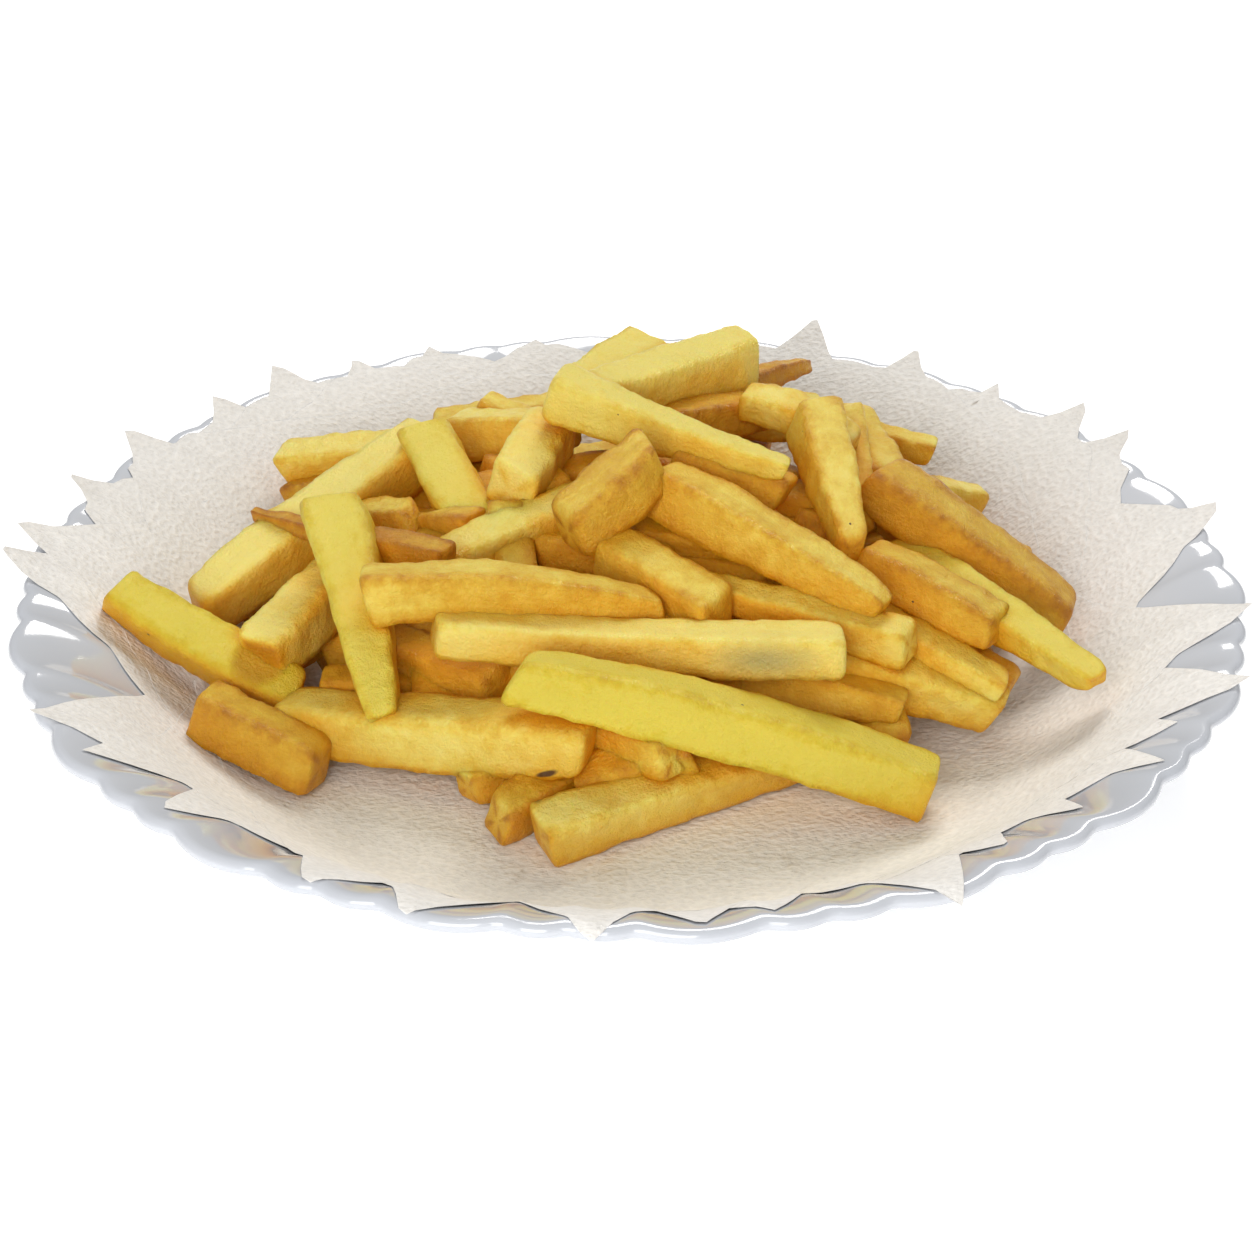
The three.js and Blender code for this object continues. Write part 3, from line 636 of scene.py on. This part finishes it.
def paper_top(x, y):
    """Height of the paper's upper face, which no fry goes below."""
    angle = np.degrees(np.arctan2(y, x))
    r = np.hypot(x, y)
    r = r + scallop_at(r) * (notch(angle) * (1 - PAPER_SPAN) + FLUTE_TOP * PAPER_SPAN)
    lift = FLOOR_LIFT + (WALL_LIFT - FLOOR_LIFT) * smoothstep((r - 66) / 30)
    return plate_height(r) + lift + len(SHEETS) * PAPER_STEP


def hidden_fries(layer):
    """Fries that spiral out from the heap's middle at a set depth under its dome."""
    rows = []
    for k in range(layer["count"]):
        out = layer["share"] * math.sqrt((k + 0.5) / layer["count"])
        angle = math.radians(k * GOLDEN_ANGLE)
        x = HEAP_X + HEAP_RADIUS_X * out * math.cos(angle)
        y = HEAP_Y + HEAP_RADIUS_Y * out * math.sin(angle)
        turn, reach, width = math.radians(draw(0, 180)), draw(21, 28), draw(8.5, 10)
        ends = []
        for u in (-reach, reach):
            px, py = x + u * math.cos(turn), y + u * math.sin(turn)
            ends += [px, py, max(dome_height(px, py) - layer["depth"], CORE_BASE + width / 2)]
        # Their tone, browner than most fries on top, is painted shade: these fries show only deep in the gaps.
        rows.append((*ends, width, 1, 1, 0, 0.55 + 0.12 * math.sin(2.4 * k), 0))
    return rows


def fry_loft(row, size, rng, number):
    """A fry's points, faces and looks: a bevelled bar, tapered, bowed, twisted and blistered."""
    ends, (width, start, end, bow, tone, roll) = row[:6], row[6:]
    rings, sides = size
    a, b = np.array(ends[:3], float), np.array(ends[3:], float)
    length = np.linalg.norm(b - a)
    ahead = (b - a) / length
    aside = np.cross([0, 0, 1], ahead)
    aside /= np.linalg.norm(aside)
    above = np.cross(ahead, aside)

    round_a, round_b = rng.uniform(0.9, 2.6, 2)
    lens = rng.uniform(0.0, 0.4, 2)
    side = rng.integers(4)
    body = np.linspace(max(round_a, 2) + 1.2, length - max(round_b, 2) - 1.2, rings - 2 * len(CAP))
    distances = [d * round_a for d, _ in CAP] + list(body) + [length - d * round_b for d, _ in reversed(CAP)]
    scales = [s for _, s in CAP] + [1] * len(body) + [s for _, s in reversed(CAP)]
    u = np.array(distances)[:, None]
    share = u / length
    slope_a, slope_b = rng.uniform(-0.28, 0.28, 2), rng.uniform(-0.28, 0.28, 2)
    power = rng.uniform(4.6, 9)
    flat = rng.uniform(0.92, 1.08)
    bend = rng.uniform(1.9, 2.6) if min(start, end) > 0.4 else 1.25
    shear = rng.uniform(-0.14, 0.14)
    waves = rng.uniform(0, 2 * math.pi, 4)

    turn = 2 * math.pi * np.arange(sides)[None, :] / sides + math.pi / 4
    turn = turn + 0.35 * np.sin(4 * turn) / 4
    reach = (np.abs(np.cos(turn)) ** power + np.abs(np.sin(turn)) ** power) ** (-1 / power)
    taper = 1 - (1 - start) * (1 - share) ** bend - (1 - end) * share ** bend
    wave = 1 + 0.03 * np.sin(share * 5 + waves[0]) + 0.02 * np.sin(share * 13 + waves[1])
    half = width / 2 * taper * wave * np.array(scales)[:, None]
    v = half * reach * np.cos(turn)
    w = half * reach * np.sin(turn) * flat * (1 + 0.03 * np.sin(share * 7 + waves[2]))
    depth = smoothstep(np.array([v, w, -v, -w][side]) / half)
    shrink = 1 - (lens[0] * (1 - share) ** 4 + lens[1] * share ** 4) * depth
    v, w = (v * shrink, w) if side % 2 == 0 else (v, w * shrink)
    v = v + shear * w
    spin = np.radians(roll + rng.uniform(-8, 8) + rng.uniform(-12, 12) * (share - 0.5))
    v, w = v * np.cos(spin) - w * np.sin(spin), v * np.sin(spin) + w * np.cos(spin)

    arch = 1 - (2 * share - 1) ** 2
    cut_a, cut_b = smoothstep(1 - u / 6), smoothstep(1 - (length - u) / 6)
    u = u + (slope_a[0] * v + slope_a[1] * w) * cut_a + (slope_b[0] * v + slope_b[1] * w) * cut_b
    side_bend = rng.uniform(-0.5, 0.5) * arch
    centre = a + ahead * u[..., None] + aside * side_bend[..., None] + above * (bow * arch)[..., None]
    spokes = aside * v[..., None] + above * w[..., None]
    points = centre + spokes

    outward = spokes / np.maximum(np.linalg.norm(spokes, axis=2, keepdims=True), 1e-6)
    shift = number * 37.0
    grain = np.stack([u + 0 * v + shift, v + shift, w], axis=-1)
    swell = np.zeros(v.shape)
    for i in range(v.shape[0]):
        for j in range(v.shape[1]):
            p = Vector(grain[i, j])
            swell[i, j] = (
                0.5 * noise.noise(p * 0.1) + 0.42 * noise.noise(p * 0.3) + 0.2 * noise.noise(p * 0.8)
            )
    corner = ((reach - 1) / (reach.max() - 1)) ** 2 + 0 * u
    swell = swell - 0.2 * (1 - corner)
    points = points + outward * (swell * np.array(scales)[:, None] ** 2)[..., None]

    points[..., 2] = np.maximum(points[..., 2], paper_top(points[..., 0], points[..., 1]))

    near_end = np.exp(-np.minimum(u, length - u).clip(0) / 1.6)
    lemon = max(-tone, 0)
    tone = max(tone, LEMON_TONE)
    looks = np.stack([tone + 0 * v, corner, near_end, lemon + 0 * v], axis=-1)
    poles = [points[0].mean(axis=0), points[-1].mean(axis=0)]
    pole_looks = [np.array([tone, 0, 1, lemon]), np.array([tone, 0, 1, lemon])]
    pole_grain = [grain[0].mean(axis=0), grain[-1].mean(axis=0)]
    mesh_points, faces = loft(points, *poles)
    all_looks = np.concatenate([[pole_looks[0]], looks.reshape(-1, 4), [pole_looks[1]]])
    all_grain = np.concatenate([[pole_grain[0]], grain.reshape(-1, 3), [pole_grain[1]]])
    return mesh_points, faces, all_looks, all_grain


def fries(material):
    rng = np.random.default_rng(SEED)
    under, deep = hidden_fries(UNDER), hidden_fries(DEEP)
    laid = [(row, COARSE) for row in under + deep] + [(row, FINE) for row in FRONT_FRIES + BACK_FRIES]
    made = [fry_loft(row, size, rng, number) for number, (row, size) in enumerate(laid)]
    looks = {"look": np.concatenate([m[2] for m in made]), "grain": np.concatenate([m[3] for m in made])}
    obj = piece("fries_heap", [m[:2] for m in made], material, looks)
    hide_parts("fries")
    return obj


def core(material):
    """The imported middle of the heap, seen only as warm shade between the fries."""
    angles = np.radians(np.arange(0, 360, 3))
    rise = HEAP_LOW + HEAP_RISE - CORE_DEPTH - CORE_BASE
    shares = np.linspace(1, 0.06, 22)
    rings = []
    for share in shares:
        x = HEAP_X + HEAP_RADIUS_X * CORE_SHARE * share * np.cos(angles)
        y = HEAP_Y + HEAP_RADIUS_Y * CORE_SHARE * share * np.sin(angles)
        z = CORE_BASE + rise * max(0, 1 - share * share) ** HEAP_POWER
        lumps = np.array([noise.noise(Vector((px * 0.09, py * 0.09, 0))) for px, py in zip(x, y)])
        rings.append(np.stack([x, y, z + (1 + 2.5 * lumps) * (share < 1)], axis=-1))
    rings = np.array(rings)
    points, faces = loft(rings, (HEAP_X, HEAP_Y, CORE_BASE), rings[-1].mean(axis=0))
    looks = np.tile([0.5, 0, 0, 0], (len(points), 1))
    obj = piece("fries_core", [(points, faces)], material, {"look": looks, "grain": points})
    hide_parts("fries")
    return obj


# Stage

def stage():
    bpy.ops.mesh.primitive_plane_add(size=6, location=(0, 0, 0))
    floor = bpy.context.object
    floor.name = "floor"
    floor.data.materials.append(floor_paint())

    world = bpy.data.worlds.new("studio")
    bpy.context.scene.world = world
    world.use_nodes = True
    background = world.node_tree.nodes["Background"]
    background.inputs["Color"].default_value = (1, 1, 1, 1)
    background.inputs["Strength"].default_value = 0.36

    lights = [
        ("key", (0.12, 0.55, 0.66), 0.4, 4.6, (1, 0.985, 0.96)),
        ("fill", (-0.2, -0.8, 0.4), 0.6, 6.2, (1, 1, 1)),
    ]
    for name, place, size, power, colour in lights:
        data = bpy.data.lights.new(name, "AREA")
        data.size = size
        data.energy = power
        data.color = colour
        lamp = bpy.data.objects.new(name, data)
        lamp.location = place
        lamp.rotation_euler = (Vector((0, 0, 0.02)) - Vector(place)).to_track_quat("-Z", "Y").to_euler()
        bpy.context.scene.collection.objects.link(lamp)


def camera():
    data = bpy.data.cameras.new("camera")
    data.lens = LENS
    data.sensor_width = SENSOR
    data.clip_start = 0.01
    obj = bpy.data.objects.new("camera", data)
    obj.location = [c * MM for c in EYE]
    obj.rotation_euler = (math.radians(90 - LOOK_DOWN), 0, 0)
    bpy.context.scene.collection.objects.link(obj)
    bpy.context.scene.camera = obj
    bpy.context.scene.view_settings.view_transform = "Standard"


camera()
stage()
plate(porcelain())
paper(tissue())
potato = fried_potato()
fries(potato)
core(potato)
